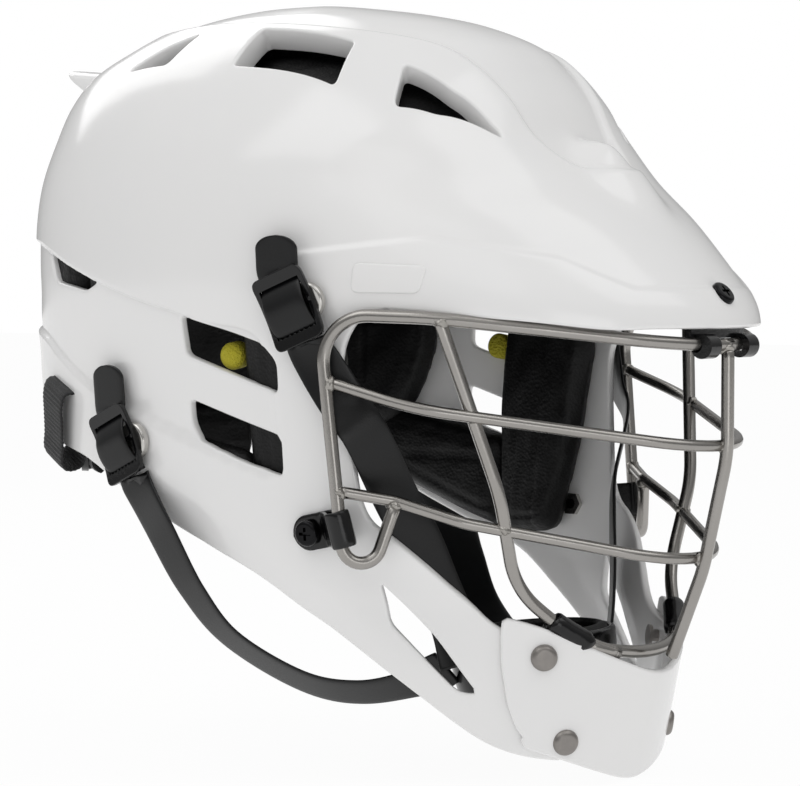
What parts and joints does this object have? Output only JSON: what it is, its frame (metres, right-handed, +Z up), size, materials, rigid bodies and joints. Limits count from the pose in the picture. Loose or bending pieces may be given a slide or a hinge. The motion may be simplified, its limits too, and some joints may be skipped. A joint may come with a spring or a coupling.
{
  "type": "lacrosse helmet",
  "caption": "White lacrosse helmet: vented shell with brim and jaw arms, riveted chin guard, welded wire face mask, padded liner and a chin harness on snaps.",
  "frame": {"origin": "middle of the head cavity at the height of the ears", "axes": "-Y is the way the wearer faces, +Z is up towards the crown, +X is the left side of the wearer"},
  "size_m": [0.211, 0.3056, 0.2847],
  "materials": {
    "shell_plastic": "gloss",
    "mask_steel": "satin",
    "clip_plastic": "satin",
    "buckle_plastic": "gloss",
    "black_screw": "black",
    "fastener_steel": "satin",
    "strap_vinyl": "smooth",
    "fit_webbing": "ribbed",
    "yellow_foam": "matt",
    "pad_foam": "soft"
  },
  "bodies": {
    "helmet": {"brow_clip": "clip_plastic", "brow_clip_nut": "fastener_steel", "brow_clip_screw": "black_screw", "brow_pad": "pad_foam", "chin_clip_left": "clip_plastic", "chin_clip_right": "clip_plastic", "chin_guard": "shell_plastic", "chin_guard_rivets": "fastener_steel", "crown_pad": "pad_foam", "ear_pad_left": "pad_foam", "ear_pad_right": "pad_foam", "fit_strap_left": "fit_webbing", "fit_strap_right": "fit_webbing", "foam_plug_left": "yellow_foam", "foam_plug_right": "yellow_foam", "jaw_clamp_left": "clip_plastic", "jaw_clamp_nuts": "fastener_steel", "jaw_clamp_right": "clip_plastic", "jaw_clamp_screws": "fastener_steel", "jaw_pad_left": "pad_foam", "jaw_pad_right": "pad_foam", "mask_centre_wire": "mask_steel", "mask_chin_wire": "mask_steel", "mask_lower_bar": "mask_steel", "mask_perimeter_wire": "mask_steel", "mask_upper_bar": "mask_steel", "nape_sockets": "clip_plastic", "rear_pad": "pad_foam", "shell": "shell_plastic", "side_cushion_left": "pad_foam", "side_cushion_right": "pad_foam", "snap_studs": "fastener_steel", "strap_run_front_left": "strap_vinyl", "strap_run_front_right": "strap_vinyl", "strap_run_rear_left": "strap_vinyl", "strap_run_rear_right": "strap_vinyl", "temple_pad_left": "pad_foam", "temple_pad_right": "pad_foam"},
    "chin_cup": {"chin_cup": "clip_plastic", "chin_pad": "pad_foam"},
    "nape_cradle": {"nape_cradle": "clip_plastic", "nape_pad": "pad_foam"},
    "buckle_front_left": {"buckle_front_left": "buckle_plastic", "snap_socket_front_left": "fastener_steel", "strap_end_front_left": "strap_vinyl"},
    "buckle_front_right": {"buckle_front_right": "buckle_plastic", "snap_socket_front_right": "fastener_steel", "strap_end_front_right": "strap_vinyl"},
    "buckle_rear_left": {"buckle_rear_left": "buckle_plastic", "snap_socket_rear_left": "fastener_steel", "strap_end_rear_left": "strap_vinyl"},
    "buckle_rear_right": {"buckle_rear_right": "buckle_plastic", "snap_socket_rear_right": "fastener_steel", "strap_end_rear_right": "strap_vinyl"}
  },
  "joints": [
    {"name": "buckle_front_left_swivel", "type": "hinge", "parent": "helmet", "child": "buckle_front_left", "pos_m": [0.09585, -0.07506, 0.03606], "axis": [0.9869, -0.1311, -0.0936], "range_deg": [-5, 5]},
    {"name": "buckle_front_right_swivel", "type": "hinge", "parent": "helmet", "child": "buckle_front_right", "pos_m": [-0.09585, -0.07506, 0.03606], "axis": [-0.9869, -0.1311, -0.0936], "range_deg": [-5, 5]},
    {"name": "buckle_rear_left_swivel", "type": "hinge", "parent": "helmet", "child": "buckle_rear_left", "pos_m": [0.0874, 0.01108, -0.01594], "axis": [0.9818, 0.1686, -0.0879], "range_deg": [-5, 5]},
    {"name": "buckle_rear_right_swivel", "type": "hinge", "parent": "helmet", "child": "buckle_rear_right", "pos_m": [-0.0874, 0.01108, -0.01594], "axis": [-0.9818, 0.1686, -0.0879], "range_deg": [-5, 5]},
    {"name": "chin_cup_lift", "type": "slide", "parent": "helmet", "child": "chin_cup", "axis": [0, 0, 1], "range_m": [0, 0.012], "deforming": ["strap_run_front_left", "strap_run_front_right", "strap_run_rear_left", "strap_run_rear_right"]},
    {"name": "nape_cradle_slide", "type": "slide", "parent": "helmet", "child": "nape_cradle", "axis": [0, -1, 0], "range_m": [0, 0.004]}
  ]
}
